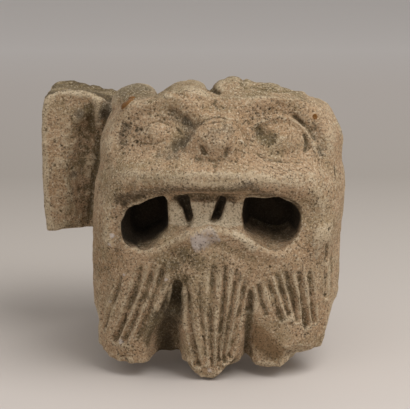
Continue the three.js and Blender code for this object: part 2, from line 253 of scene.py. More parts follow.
def wearFacets():
    # the teeth and the edges of the holes stay crisp, the beard's even flutes nearly go
    crisp = patchMask((-64, 9, 90), (58, 60, 126), 1.5)
    soften(np.ones(len(skin["points"])), 2)
    soften(1.0 - crisp, 7)
    beard = patchMask((-74, None, 12), (72, 40, 76), 4.0) * smoothStep(-skin["normals"][:, 1], 0.1, 0.4)
    soften(beard, 18)


def pickFaces(mesh, chosen):
    mesh.vertices.foreach_set("select", np.zeros(len(mesh.vertices), bool))
    mesh.edges.foreach_set("select", np.zeros(len(mesh.edges), bool))
    mesh.polygons.foreach_set("select", chosen)
    scene.tool_settings.mesh_select_mode = (False, False, True)
    bpy.ops.object.mode_set(mode="EDIT")


def facePlaces(mesh):
    centres = np.empty(len(mesh.polygons) * 3)
    normals = np.empty(len(mesh.polygons) * 3)
    mesh.polygons.foreach_get("center", centres)
    mesh.polygons.foreach_get("normal", normals)
    facing = normals.reshape(-1, 3) @ np.array(block["toFront"])
    return centres.reshape(-1, 3) / millimetre - stoneZero, facing


def thinAndRefine(stone):
    mesh = stone.data
    centres, facing = facePlaces(mesh)
    pickFaces(mesh, facing < block["awayBelow"])
    bpy.ops.mesh.decimate(ratio=block["awayShare"])
    bpy.ops.object.mode_set(mode="OBJECT")
    centres, facing = facePlaces(mesh)
    inZone = np.zeros(len(centres), bool)
    for low, high in block["fineZones"]:
        inZone |= np.all((centres > low) & (centres < high), axis=1)
    pickFaces(mesh, inZone & (facing > block["fineAbove"]))
    bpy.ops.mesh.subdivide(number_cuts=1, smoothness=0.0)
    bpy.ops.mesh.vertices_smooth(factor=0.5, repeat=1)
    bpy.ops.object.mode_set(mode="OBJECT")


# Carving tools. They move the points of the skin, which are kept here in the carver's millimetres.

skin = {}
paint = {}
paintNames = ("grime", "moss", "ash", "warm", "pale", "crust", "soot", "fresh", "amber", "speckle",
              "sunk", "proud")


def readSkin(stone):
    mesh = stone.data
    flat = np.empty(len(mesh.vertices) * 3)
    mesh.vertices.foreach_get("co", flat)
    skin["points"] = flat.reshape(-1, 3) / millimetre - stoneZero
    mesh.vertex_normals.foreach_get("vector", flat)
    skin["normals"] = flat.reshape(-1, 3).copy()
    edges = np.empty(len(mesh.edges) * 2, np.int64)
    mesh.edges.foreach_get("vertices", edges)
    skin["edges"] = edges.reshape(-1, 2)
    skin["tree"] = BVHTree.FromPolygons(
        [Vector(point) for point in skin["points"]], [list(face.vertices) for face in mesh.polygons])


def writeSkin(stone):
    stone.data.vertices.foreach_set("co", ((skin["points"] + stoneZero) * millimetre).ravel())
    stone.data.update()


def openPaint(stone):
    for name in paintNames:
        paint[name] = np.zeros(len(stone.data.vertices))


def smoothStep(value, low, high):
    share = np.clip((value - low) / (high - low), 0.0, 1.0)
    return share * share * (3.0 - 2.0 * share)


def neighbourMean(values):
    first, second = skin["edges"].T
    count = len(skin["points"])
    size = np.bincount(first, minlength=count) + np.bincount(second, minlength=count)
    values = values.reshape(count, -1)
    total = [np.bincount(first, column[second], count) + np.bincount(second, column[first], count)
             for column in values.T]
    return np.squeeze(np.stack(total, 1) / size[:, None])


def soften(mask, rounds):
    for _ in range(rounds):
        skin["points"] += (neighbourMean(skin["points"]) - skin["points"]) * 0.5 * mask[:, None]


def patchMask(low, high, soft):
    # 1 inside a box between two corners, falling to 0 over a soft edge
    points = skin["points"]
    mask = np.ones(len(points))
    for axis in range(3):
        if low[axis] is not None:
            mask *= smoothStep(points[:, axis], low[axis] - soft, low[axis] + soft)
        if high[axis] is not None:
            mask *= 1.0 - smoothStep(points[:, axis], high[axis] - soft, high[axis] + soft)
    return mask


def noiseAt(points, size, octaves=1):
    # soft noise between about -1 and 1, with features of a size in mm
    total = np.zeros(len(points))
    for octave in range(octaves):
        scaled = points * (2 ** octave / size) + 31.7 * (octave + 1)
        total += np.array([noise.noise(Vector(place)) for place in scaled]) / 2 ** octave
    return total * 1.6


def curveThrough(dots, step):
    # a smooth line through a few given dots
    dots = np.array(dots, float)
    padded = np.vstack([2 * dots[0] - dots[1], dots, 2 * dots[-1] - dots[-2]])
    pieces = []
    for index in range(1, len(padded) - 2):
        before, start, end, after = padded[index - 1:index + 3]
        count = max(2, int(np.linalg.norm(end - start) / step))
        share = np.linspace(0.0, 1.0, count, endpoint=False)[:, None]
        pieces.append(0.5 * (2 * start + (end - before) * share
                             + (2 * before - 5 * start + 4 * end - after) * share ** 2
                             + (3 * start - before - 3 * end + after) * share ** 3))
    return np.vstack([*pieces, dots[-1:]])


def layOn(dots, side="front"):
    # the line laid on the stone as seen from one side: x and z from the front, y and z from a side,
    # x and y from above
    laid = []
    for first, second in dots:
        start, way = {
            "front": ((first, -60.0, second), (0, 1, 0)),
            "left": ((-200.0, first, second), (1, 0, 0)),
            "right": ((200.0, first, second), (-1, 0, 0)),
            "top": ((first, second, 300.0), (0, 0, -1)),
            "below": ((first, second, -60.0), (0, 0, 1)),
        }[side]
        hit = skin["tree"].ray_cast(Vector(start), Vector(way))[0]
        if hit is not None:
            laid.append(hit)
    return np.array(laid)


def lay(name, near, amount):
    paint[name][near] = np.maximum(paint[name][near], amount)


def cut(dots, reach, depth=0.0, side="front", shape="round", ends=(0.15, 0.15), wobble=0.0, **colours):
    # a groove along a line, or with a negative depth a ridge, coloured by the paints that are named;
    # reach is half its width
    line = layOn(curveThrough(dots, 0.7), side)
    if len(line) < 2:
        return
    points = skin["points"]
    near = np.where(np.all((points > line.min(0) - reach) & (points < line.max(0) + reach), axis=1))[0]
    gaps = np.linalg.norm(points[near][:, None] - line[None], axis=2)
    nearest = gaps.argmin(1)
    share = gaps[np.arange(len(near)), nearest] / reach
    near, nearest, share = near[share < 1], nearest[share < 1], share[share < 1]
    along = nearest / (len(line) - 1)
    form = {"round": np.cos(share * math.pi / 2) ** 2, "step": 1.0 - share ** 3}[shape]
    fade = smoothStep(along, -0.001, ends[0]) * smoothStep(1.0 - along, -0.001, ends[1])
    if wobble:
        fade = fade * (1.0 + wobble * noiseAt(points[near], 8.0))
    points[near] -= skin["normals"][near] * (depth * form * fade)[:, None]
    for name, amount in colours.items():
        lay(name, near, amount * (1.0 - share ** 2) * np.clip(fade, 0, 1))


def dab(place, reach, depth=0.0, side="front", **colours):
    # a round hollow, or with a negative depth a boss, coloured by the paints that are named
    hit = layOn([place], side)
    if not len(hit):
        return
    points = skin["points"]
    gap = np.linalg.norm((points - hit[0]) / np.broadcast_to(np.array(reach, float), 3), axis=1)
    near = np.where(gap < 1.0)[0]
    points[near] -= skin["normals"][near] * (depth * np.cos(gap[near] * math.pi / 2) ** 2)[:, None]
    for name, amount in colours.items():
        lay(name, near, amount * (1.0 - gap[near] ** 2))


def splitOff(place, way, reach, side="front", ragged=0.0, **colours):
    # a flat break: what stands proud of a plane through the place comes off
    hit = layOn([place], side)
    if not len(hit):
        return
    points = skin["points"]
    way = np.array(way, float) / np.linalg.norm(way)
    offset = points - hit[0]
    proud = offset @ way
    across = np.linalg.norm(offset - proud[:, None] * way, axis=1)
    mask = 1.0 - smoothStep(across, 0.7 * reach, reach)
    near = np.where((mask > 0) & (proud > -1.0) & (proud < reach))[0]
    level = ragged * noiseAt(points[near], 5.0) if ragged else 0.0
    points[near] -= np.maximum(proud[near] - level, 0.0)[:, None] * mask[near, None] * way
    for name, amount in colours.items():
        lay(name, near, amount * mask[near])


# The face: eyes, nose and brow. Each stroke is a line of places and how the tool works along it.

eyeStrokes = [
    {"dots": [(-58, 160), (-52, 170.5), (-42, 175.5), (-30, 177), (-20, 172)], "reach": 3.4, "depth": -1.2},
    {"dots": [(-50, 165), (-43, 170.5), (-35.5, 172.5), (-28, 170)], "reach": 1.7, "depth": 1.0,
     "grime": 0.3},
    {"dots": [(-50.7, 159.3), (-43, 158.5), (-36, 160), (-30, 163.5)], "reach": 1.6, "depth": 0.8,
     "grime": 0.25},
    # painted shade in grime and ash between the left eye and the nose
    {"dots": [(-33, 180.5), (-22.7, 175.5), (-16.2, 169.7), (-19, 163), (-25, 157.5), (-31, 151.5)],
     "reach": 5.4, "depth": 2.8, "grime": 0.3, "ash": 0.75, "wobble": 0.4},
    {"dots": [(-35, 178.5), (-27, 176.3), (-20, 173.5)], "reach": 1.4, "depth": 0.8, "grime": 0.6},
    {"dots": [(-25.3, 169.7), (-21.4, 164.5)], "reach": 1.6, "depth": 0.9, "grime": 0.6},
    {"dots": [(-40, 153), (-31, 152), (-22, 152.5)], "reach": 5.0, "depth": 1.8, "ash": 0.55, "grime": 0.3},
    # painted shade in ash and grime down the left eye's outer side
    {"dots": [(-57.4, 172), (-59.2, 166), (-60.6, 160), (-61.2, 155)], "reach": 4.6, "depth": 1.6,
     "ash": 0.55, "grime": 0.3, "wobble": 0.5},
    {"dots": [(-53, 166.5), (-46, 167.3), (-42, 166)], "reach": 3.0, "depth": 0.9, "ash": 0.6, "grime": 0.3,
     "wobble": 0.5},
    {"dots": [(20, 166), (30, 172.6), (39.6, 175), (48, 173.6), (57.5, 168), (63.5, 158.5), (64.5, 152),
              (60, 146)], "reach": 3.6, "depth": -1.5},
    {"dots": [(49.5, 177), (53.4, 174), (57.4, 170), (62, 164.5), (66, 157)], "reach": 2.6, "depth": 2.0,
     "grime": 0.55, "wobble": 0.3},
    {"dots": [(52, 175.5), (55.4, 171.9), (59, 168)], "reach": 1.8, "depth": 0.8, "grime": 0.7},
    {"dots": [(57, 164.5), (59.4, 159.5), (58.7, 151.5)], "reach": 2.2, "depth": 1.4, "grime": 0.55,
     "moss": 0.4},
    {"dots": [(22.5, 166), (29, 165.6), (35, 163), (40, 159.7)], "reach": 7.0, "depth": 1.9, "moss": 1.0,
     "grime": 0.55, "wobble": 0.35, "ends": (0.35, 0.15)},
    {"dots": [(24, 155.5), (32, 150.5), (40, 149), (51, 147.5), (58.5, 147)], "reach": 2.0, "depth": 0.9,
     "grime": 0.25, "wobble": 0.5},
    {"dots": [(28, 163), (34, 160.5), (41, 156), (43, 152)], "reach": 1.4, "depth": 0.5, "grime": 0.5,
     "wobble": 0.8},
]
templeStrokes = [
    {"dots": [(63.5, 169), (67, 163.5), (69.3, 157), (70.2, 150)], "reach": 5.5, "depth": 2.0, "ash": 0.4},
    {"dots": [(68.5, 153), (70.1, 149)], "reach": 3.4, "depth": 0.3, "ash": 0.9},
    {"dots": [(78.7, 143), (79.3, 137.5), (80, 131)], "reach": 1.2, "depth": 0.8, "grime": 0.9},
    {"dots": [(79.7, 169.5), (82, 165.2), (84.3, 160)], "reach": 3.5, "depth": -1.2, "moss": 0.4},
]
noseStrokes = [
    {"dots": [(-12, 171), (-7.5, 174.6), (-2, 176.6), (4, 176.9), (9, 175)], "reach": 1.2, "depth": 0.8,
     "grime": 0.7},
    {"dots": [(-10, 169.8), (-5.5, 172.6), (0, 174), (5.5, 174)], "reach": 1.1, "depth": 0.6, "grime": 0.5},
    # painted shade in grime and ash down the nose's left side, toward the left eye
    {"dots": [(-8.7, 175), (-14, 171), (-18.5, 165), (-21, 158), (-20, 151.5)], "reach": 4.2, "depth": 1.8,
     "grime": 0.3, "ash": 0.4, "wobble": 0.3},
    {"dots": [(9.5, 176), (15.5, 170.5), (20, 163), (21, 156)], "reach": 4.2, "depth": 1.4},
    # a small ridge on the nose's right side, whose pale colour is a painted highlight
    {"dots": [(14.5, 163.5), (18.6, 160.5), (21.5, 157.5)], "reach": 1.3, "depth": -0.7, "pale": 1.0},
    {"dots": [(-17, 151), (-9.7, 151.4), (-3.3, 150.2), (0, 148.4), (4.4, 150.6), (17, 150.4)],
     "reach": 3.2, "depth": 1.3, "grime": 0.2, "wobble": 0.5},
    {"dots": [(-5, 151), (-2, 149.8), (1.2, 149.3)], "reach": 1.6, "depth": 0.8, "grime": 0.6},
    {"dots": [(0.5, 148), (-0.1, 145.5), (-0.4, 142.6)], "reach": 2.2, "depth": 0.9, "grime": 0.4},
    {"dots": [(-8.5, 160.5), (-7.6, 157), (-6.2, 153.5)], "reach": 3.4, "depth": 1.7, "grime": 0.5},
    {"dots": [(-8.1, 162.3), (-7.3, 160)], "reach": 1.1, "depth": -0.8, "crust": 1.0},
    {"dots": [(-5, 158.5), (-4.4, 154.5)], "reach": 0.9, "depth": -0.5, "crust": 0.8},
    {"dots": [(6.5, 158.5), (7, 155.5), (6.4, 152.5)], "reach": 3.4, "depth": 1.6, "grime": 0.5},
    {"dots": [(7.6, 161.8), (8.9, 160.3)], "reach": 1.0, "depth": -0.6, "crust": 0.9},
    {"dots": [(-7, 168), (0, 166), (8, 170), (3, 173)], "reach": 6.0, "ash": 0.55, "speckle": 0.4},
]
bosses = [((0, 163), (17, 40, 13), 3.4), ((-40, 166), (17, 40, 9), 1.6), ((45, 160), (18, 40, 12), 1.8),
          ((0, 140), (60, 40, 12), 1.2)]
browStrokes = [
    {"dots": [(0.4, 187.5), (0, 185.5), (-0.7, 184), (1.9, 181.5)], "reach": 1.5, "depth": 0.8,
     "grime": 0.5},
    {"dots": [(-49.5, 188), (-33, 191.5), (-16, 189), (-4, 187)], "reach": 3.2, "depth": 0.8, "moss": 0.3},
    {"dots": [(16, 190.5), (32.6, 192), (49, 190), (58, 187)], "reach": 2.6, "depth": 0.8, "moss": 0.15},
]
# where small pits crowd: place, reach, how densely
pitted = [
    ((-57, 165), 10, 1.0), ((-59, 157), 7, 0.9), ((-51, 172), 6, 0.8), ((-45, 165), 8, 0.35),
    ((-41, 182), 8, 0.45), ((-32, 167), 5, 0.3), ((-20, 167), 7, 0.4),
    ((25, 178), 9, 0.9), ((36, 180), 9, 0.9), ((47, 179), 9, 0.95), ((54, 182), 7, 0.6),
    ((27, 170), 8, 0.9), ((22, 163), 6, 0.8), ((30, 158), 10, 0.55), ((41, 155), 7, 0.5),
    ((64, 170), 7, 0.5), ((0, 160), 14, 0.5), ((70, 150), 6, 0.6), ((45, 138), 18, 0.4),
    ((70, 125), 16, 0.4), ((-62, 122), 12, 0.7), ((-70, 112), 10, 0.5), ((-30, 130), 14, 0.5),
    ((12, 128), 14, 0.7), ((60, 85), 20, 0.45), ((-70, 80), 14, 0.6), ((-20, 80), 16, 0.9),
    ((5, 78), 14, 0.7), ((-50, 50), 22, 0.6), ((0, 45), 24, 0.55), ((55, 50), 24, 0.35),
    ((-35, 40), 16, 0.8), ((-60, 20), 14, 0.7), ((0, 10), 12, 0.6), ((62, 33), 10, 0.6),
]


def carveFace():
    for place, reach, rise in bosses:
        dab(place, reach, -rise)
    for stroke in eyeStrokes + templeStrokes + noseStrokes + browStrokes:
        cut(**stroke)
    for place in [(-56, 174), (-54.7, 170.6), (-57.4, 167.6), (-59, 163.6), (-60.4, 159.8), (-61, 155.5),
                  (-50.2, 173.3), (-50.7, 159.6), (-31.7, 167.2), (-48, 167.4), (-44.4, 167)]:
        dab(place, 1.5, 0.9, grime=0.9)
    for place in [(40.7, 157.3), (40.7, 153.4), (65.3, 174.8), (32, 150), (-109.2, 140.8), (-108.6, 132.9),
                  (-101.5, 159.6), (-101.6, 123.1), (12.4, 120.8), (9.6, 122.2), (35.9, 79.1)]:
        dab(place, 1.5, 1.0, grime=0.9)
    for place, reach, share in pitted:
        dab(place, (reach, 30, reach), speckle=share)
    print("face carved")


# The insect's case stuck to the brow, and a drop of the same amber on the other side

amberCase = {
    "dots": [(-61.2, 179.4), (-58.6, 181.6), (-56, 183.4), (-53.2, 185)],
    "reach": 2.8,
    "rise": 2.0,
}


def addCase():
    cut(amberCase["dots"], amberCase["reach"], -amberCase["rise"], shape="step", ends=(0.22, 0.12),
        amber=1.0)
    cut(amberCase["dots"][-2:], 1.7, 0.0, grime=0.9, ends=(0.9, 0.0))
    dab((65.3, 174.9), 2.3, -0.8, amber=0.9)


# The mouth

mouthStrokes = [
    # the first five strokes darken the underside of the upper lip's roll and the mouth's corners: dirt, and
    # painted shade under the roll
    {"dots": [(-33, 124), (-22.8, 124.6), (-13, 125.4), (-4.6, 124.8), (4.5, 125.6), (18, 125)],
     "reach": 4.6, "depth": 1.5, "grime": 0.55, "wobble": 0.3},
    {"dots": [(-63, 117), (-56, 122), (-48, 125), (-38, 126.5), (-30, 126)], "reach": 4.2, "depth": 1.2,
     "grime": 0.9, "wobble": 0.4},
    {"dots": [(17, 126), (28, 126), (40, 124), (51, 120.5), (57, 115)], "reach": 4.2, "depth": 1.2,
     "grime": 0.8, "wobble": 0.4},
    {"dots": [(-67, 124), (-60, 127), (-48, 127.5), (-36, 130), (-20, 131.5), (-6, 131), (8, 131.5),
              (22, 134), (30, 128), (45, 125), (54, 121)], "reach": 6.5, "grime": 0.6, "ash": 0.35,
     "speckle": 0.9},
    {"dots": [(-66, 121), (-60, 124), (-52, 125)], "reach": 4.5, "depth": 0.6, "grime": 0.9, "wobble": 0.5},
    {"dots": [(20, 138), (24.9, 134)], "reach": 3.2, "ash": 0.8, "grime": 0.35},
    {"dots": [(-63, 99), (-55, 91), (-46, 88), (-36, 91), (-24, 98.5), (-6, 105), (10, 102.5), (24, 95),
              (35, 89), (46, 87.5), (57, 93)], "reach": 4.6, "depth": -1.5},
    {"dots": [(-52, 82), (-40, 82), (-28, 88), (-16, 94), (-4, 97), (8, 94), (20, 87), (32, 82), (46, 80)],
     "reach": 6.0, "depth": 1.0, "moss": 0.45},
    # painted shade: a dark line along the lip's lower edge over the teeth, and the two slits between the
    # teeth
    {"dots": [(-33, 122.8), (-24, 123.2), (-14, 123.6), (-4, 123.2), (6, 123.8), (18, 123.2)],
     "reach": 3.2, "grime": 0.9},
    {"dots": [(-22, 121), (-19.6, 113), (-17, 106)], "reach": 2.6, "grime": 0.9, "ends": (0.0, 0.2)},
    {"dots": [(4, 120), (0.6, 113), (-2.4, 108.5)], "reach": 2.6, "grime": 0.9, "ends": (0.0, 0.2)},
    {"dots": [(74.3, 99.8), (75.2, 102.8)], "reach": 2.0, "depth": 2.6, "grime": 1.0},
    {"dots": [(73.9, 93), (74.7, 84), (74.1, 76)], "reach": 2.8, "depth": 1.6, "grime": 0.4, "wobble": 0.6},
    {"dots": [(-16, 95), (-8, 98.3), (-2, 101.6), (1.5, 104)], "reach": 7.6, "depth": -0.8, "crust": 1.0,
     "speckle": 0.6, "wobble": 0.5, "ends": (0.1, 0.1)},
    {"dots": [(9, 104.5), (16, 100), (22, 95), (28, 89)], "reach": 4.0, "depth": -0.2, "pale": 0.8},
    {"dots": [(-70, 112), (-71, 104), (-72.5, 92)], "reach": 4.0, "pale": 0.45},
    {"dots": [(66, 96), (68, 88), (66, 80)], "reach": 4.5, "pale": 0.6},
]


def carveMouth():
    for stroke in mouthStrokes:
        cut(**stroke)
    points = skin["points"]
    # painted shade: the mouth's holes are darkened, more the deeper in and less on the right hole's floor
    # where the light reaches, and so are the walls of the gaps between the teeth
    inside = patchMask((-66, 14, 86), (64, 75, 128), 2.0)
    deep = smoothStep(points[:, 1] + 6.0 * (points[:, 0] < -50), 17, 32)
    floor = smoothStep(skin["normals"][:, 2], 0.2, 0.8) * (points[:, 0] > 0)
    lay("soot", np.arange(len(points)), inside * deep * (1.0 - 0.55 * floor))
    gapWall = patchMask((-27, 17.5, 103), (12, 40, 126), 0.8)
    lay("soot", np.arange(len(points)), gapWall * 0.7)
    # painted light: the teeth's fronts, where not already darkened, are made paler against the shade of the
    # lip
    clean = 1.0 - np.minimum(paint["soot"] + paint["grime"], 1.0)
    lay("pale", np.arange(len(points)), patchMask((-30, 6, 106), (18, 16.8, 122), 1.0) * clean)
    print("mouth carved")


# The beard: each flute runs from its top to its foot

flutes = [
    {"dots": [(-61.4, 72), (-65.7, 58.4), (-71.6, 43), (-75.8, 27.5)], "reach": 3.4, "depth": 2.0},
    {"dots": [(-47.7, 82), (-51.9, 65.4), (-58.9, 46), (-68.6, 21.4)], "reach": 3.9, "depth": 3.2},
    {"dots": [(-39.8, 83), (-44.7, 63.5), (-52.8, 44.8), (-62.1, 21.7)], "reach": 3.6, "depth": 3.0},
    {"dots": [(-31.9, 84), (-37.3, 66.5), (-43.4, 49), (-51.9, 26.3)], "reach": 3.8, "depth": 3.0},
    {"dots": [(-26.5, 72), (-32.6, 54.3), (-38.7, 37.7)], "reach": 3.0, "depth": 2.0},
    {"dots": [(-19.4, 76), (-18.6, 56), (-17.2, 38.8), (-14, 21.1), (-11, 7.9)], "reach": 4.2,
     "depth": 3.2},
    {"dots": [(-10.4, 71), (-9.8, 50.4), (-7.2, 28), (-5.8, 9.6)], "reach": 2.8, "depth": 1.5},
    {"dots": [(-1.3, 84), (-1.9, 60.4), (-3.2, 40), (-2.5, 21.5), (-1.8, 4.7)], "reach": 3.6, "depth": 2.6},
    {"dots": [(7.2, 84), (6, 60.2), (4.1, 39.3), (2.8, 21.7), (2.2, 5.6)], "reach": 3.4, "depth": 2.8},
    {"dots": [(14.4, 80), (12.5, 60), (10, 42.7), (7.4, 25.3), (6.2, 9.9)], "reach": 3.4, "depth": 2.8},
    {"dots": [(20.3, 73), (17.9, 55.7), (15.3, 41.2), (12.1, 24.8), (9.5, 13.2)], "reach": 3.2,
     "depth": 2.4},
    {"dots": [(28.2, 68.6), (30.4, 55.5), (33.8, 44.5)], "reach": 3.2, "depth": 1.8},
    {"dots": [(34.8, 71), (39.6, 54.3), (44.6, 40)], "reach": 3.6, "depth": 2.4},
    {"dots": [(39.9, 76), (44.8, 59.5), (50, 43)], "reach": 3.2, "depth": 2.2},
    {"dots": [(46.6, 77), (51.6, 58.2), (55.4, 38.5)], "reach": 3.8, "depth": 3.0},
    {"dots": [(55.3, 76), (59.1, 54.3), (61.6, 33)], "reach": 3.8, "depth": 3.0},
    {"dots": [(62.2, 75), (65.3, 53.3), (67.8, 34.5)], "reach": 3.4, "depth": 2.4},
]
# a narrow cut, darkened with dirt and painted shade, runs along the bottom of each flute, as shares of the
# flute's reach and depth
fluteCut = {"deepen": 1.25, "dirtReach": 0.6, "dirtDepth": 0.5}
# the recesses between the locks are darkened on their floors and walls with grime, moss and black: partly
# dirt, partly painted shade
recesses = [
    {"dots": [(-23, 74), (-24.5, 64), (-26.5, 54), (-29, 44)], "reach": 6.0, "depth": 4.5,
     "ends": (0.5, 0.1), "wobble": 0.3},
    {"dots": [(-24, 74), (-25.5, 64), (-28, 52), (-31, 40)], "reach": 6.0, "grime": 0.6, "moss": 1.0},
    {"dots": [(-25, 66), (-28, 50), (-31, 34), (-32, 16)], "reach": 12.0, "grime": 0.95, "moss": 1.0,
     "soot": 0.3, "ends": (0.2, 0.0), "wobble": 0.3},
    {"dots": [(-36, 50), (-42, 34), (-47, 20)], "reach": 7.0, "grime": 0.6, "moss": 1.0},
    {"dots": [(24.2, 66), (23.4, 56), (22.6, 46)], "reach": 3.6, "depth": 4.0, "grime": 0.55,
     "ends": (0.4, 0.1)},
    {"dots": [(23.4, 56), (22, 40), (20.5, 18)], "reach": 4.6, "grime": 0.6, "moss": 0.8, "soot": 0.2,
     "ends": (0.3, 0.0)},
    {"dots": [(40.7, 35.5), (47.1, 38.4), (53.9, 37.2)], "reach": 3.0, "depth": 1.0, "grime": 0.4,
     "wobble": 0.8},
    {"dots": [(74, 74), (75, 62), (74.6, 50)], "reach": 3.2, "depth": 1.8, "grime": 0.4, "wobble": 0.6},
    {"dots": [(78, 82), (79, 68), (79.5, 55)], "reach": 3.0, "depth": 1.4, "grime": 0.3, "wobble": 0.6},
]
# patches darkened with moss, most of them on the left of the face and beard: dirt, and painted shade on the
# side turned from the light
film = [((-60, 144), 14, 0.5), ((-45, 138), 16, 0.4), ((-28, 142), 12, 0.4), ((-66, 130), 14, 0.5),
        ((-30, 186), 14, 0.35), ((-12, 178), 10, 0.35), ((0, 183), 12, 0.25), ((-40, 190), 12, 0.5),
        ((-72, 60), 14, 0.35), ((-10, 50), 18, 0.4), ((6, 30), 16, 0.35), ((20, 92), 12, 0.3),
        ((-45, 60), 16, 0.35), ((60, 60), 14, 0.2), ((-74, 100), 9, 0.3)]
beardDirt = [
    ((-20, 88), 9, 0.85), ((-28, 80), 10, 0.8), ((-24, 70), 9, 0.8), ((-12, 84), 9, 0.6),
    ((-34, 68), 8, 0.55), ((3, 82), 8, 0.45), ((19, 73), 7, 0.4), ((-50, 74), 8, 0.35),
    ((-78, 70), 7, 0.5), ((-71, 72), 5, 0.5),
    ((-38, 80), 7, 0.45), ((-27, 60), 8, 0.7), ((7, 60), 9, 0.3),
]
paleSpots = [((-32.1, 70.3), 1.7), ((-67.6, 98.2), 2.6), ((-60, 71.4), 1.5), ((-3.2, 6.5), 2.4),
             ((-17.1, 24.4), 1.2), ((-62.8, 23.8), 2.6), ((-69.5, 92), 1.6), ((-69.8, 50), 2.2)]


def carveBeard():
    for flute in flutes:
        cut(flute["dots"], flute["reach"], fluteCut["deepen"] * flute["depth"], ends=(0.2, 0.05),
            wobble=0.35)
        cut(flute["dots"], fluteCut["dirtReach"] * flute["reach"], fluteCut["dirtDepth"] * flute["depth"],
            ends=(0.1, 0.03), wobble=0.5, grime=0.9)
    for recess in recesses:
        cut(**recess)
    splitOff((37, 27), (-0.4, -0.8, -0.45), 18, ragged=0.4, fresh=0.9)
    splitOff((56, 22), (0.2, -0.6, -0.78), 13, ragged=0.5, pale=0.5)
    splitOff((7, 9), (1.0, -0.25, -1.0), 14, ragged=0.8)
    splitOff((-17, 10), (-1.0, -0.25, -0.8), 9, ragged=0.8)
    for place, reach, share in film:
        dab(place, (reach, 30, reach), moss=share)
    for place, reach, share in beardDirt:
        dab(place, (reach, 14, reach), moss=share, grime=0.6 * share)
    for place, reach in paleSpots:
        dab(place, reach, -0.4, crust=1.0)
    print("beard carved")


# Hair over the crown

hairStrokes = [
    {"dots": [(-4, 192.4), (-1.2, 191.3), (1.4, 190.6), (4.2, 189)], "reach": 3.0, "depth": 2.4,
     "grime": 0.9, "ends": (0.0, 0.3)},
    {"dots": [(-2.5, 40), (-4, 55), (-5, 80), (-5, 108)], "side": "top", "reach": 4.5, "depth": 3.0,
     "grime": 0.5, "ends": (0.0, 0.3)},
    {"dots": [(16.6, 196.6), (18.4, 193.6), (21.6, 192.4)], "reach": 2.4, "depth": 1.2, "grime": 0.25},
    {"dots": [(19, 192.8), (26.4, 193.2), (36, 191.2), (48.4, 190.6), (54.3, 188.8)], "reach": 4.0,
     "depth": 1.1},
    {"dots": [(17, 42), (20, 60), (22, 90)], "side": "top", "reach": 3.4, "depth": 2.0, "grime": 0.4},
    {"dots": [(-38, 46), (-37, 70), (-35, 106)], "side": "top", "reach": 4.0, "depth": 2.2, "grime": 0.45,
     "moss": 0.5},
    {"dots": [(44, 46), (47, 70), (48, 104)], "side": "top", "reach": 4.0, "depth": 2.0, "grime": 0.4},
    {"dots": [(62, 48), (64, 70), (66, 100)], "side": "top", "reach": 3.6, "depth": 1.8, "grime": 0.4},
    {"dots": [(-20, 48), (-20, 75), (-20, 104)], "side": "top", "reach": 2.6, "depth": 1.2, "grime": 0.3},
    {"dots": [(6, 48), (7, 75), (8, 104)], "side": "top", "reach": 2.6, "depth": 1.2, "grime": 0.3},
    {"dots": [(33, 48), (35, 75), (35, 104)], "side": "top", "reach": 2.6, "depth": 1.2, "grime": 0.3},
]


def carveHair():
    for stroke in hairStrokes:
        cut(**stroke)
    points = skin["points"]
    # the crown's up-facing surfaces are darkened with moss: dirt, and painted shade for tops the light
    # reaches less
    crown = smoothStep(skin["normals"][:, 2], 0.35, 0.85) * smoothStep(points[:, 2], 176, 184)
    lay("moss", np.arange(len(points)), crown * (0.6 + 0.5 * noiseAt(points, 18.0)))
    dab((20.5, 40), 3.2, -1.4, side="top")
    # painted shade, with moss and ash, on the top at the left, which the light from above reaches strongly
    dab((-54, 56), (20, 30, 14), side="top", moss=1.0, ash=0.5, grime=0.4)
    dab((5, 52), (12, 16, 12), side="top", moss=0.45)
    for dots in [[(-60.4, 189), (-57, 188)], [(-55.5, 189.6), (-52, 188.6)], [(-49, 189.5), (-46, 188.4)]]:
        cut(dots, 1.4, -0.4, pale=0.45)
    print("hair carved")


# The tail: its hollow is pecked out roughly and is dirty, its arrises are chipped

tailMarks = [
    {"dots": [(-83.4, 176), (-83.2, 166), (-82.6, 156), (-82, 147)], "reach": 4.6, "depth": -4.2,
     "pale": 0.35, "ends": (0.1, 0.35)},
    {"dots": [(-72, 181), (-74.5, 173), (-76.5, 165), (-79, 157)], "reach": 6.5, "depth": 1.5, "ash": 1.0,
     "grime": 0.4, "ends": (0.05, 0.2)},
    {"dots": [(-91, 171), (-89.5, 164), (-88.6, 155), (-88, 146)], "reach": 4.5, "depth": 1.2, "moss": 0.9,
     "grime": 0.3},
    {"dots": [(-91.8, 164), (-96, 163), (-99, 160)], "reach": 5.0, "depth": 0.6, "ash": 0.8, "grime": 0.45},
    {"dots": [(-101.6, 121), (-101, 115)], "reach": 5.0, "depth": 0.6, "ash": 0.9},
    {"dots": [(-116, 177.4), (-107.9, 178.6), (-102, 178.9), (-92, 177.2)], "reach": 2.2, "pale": 0.8},
    {"dots": [(-85.5, 150), (-84.2, 140), (-85, 128), (-88, 112), (-90, 96), (-90.5, 80)], "reach": 3.0,
     "depth": 1.5, "grime": 0.5},
    {"dots": [(-116, 163), (-118, 140), (-117, 110), (-115, 88)], "reach": 9.0, "warm": 0.35},
]
arrisChips = [
    ((-120.3, 168), 4.0), ((-121, 149), 3.2), ((-120.8, 131), 4.4), ((-121, 112), 3.4),
    ((-120.2, 97), 3.8), ((-119.5, 84), 3.6), ((-112, 181), 4.5), ((-98, 180), 4.0), ((-89, 178), 5.0),
]


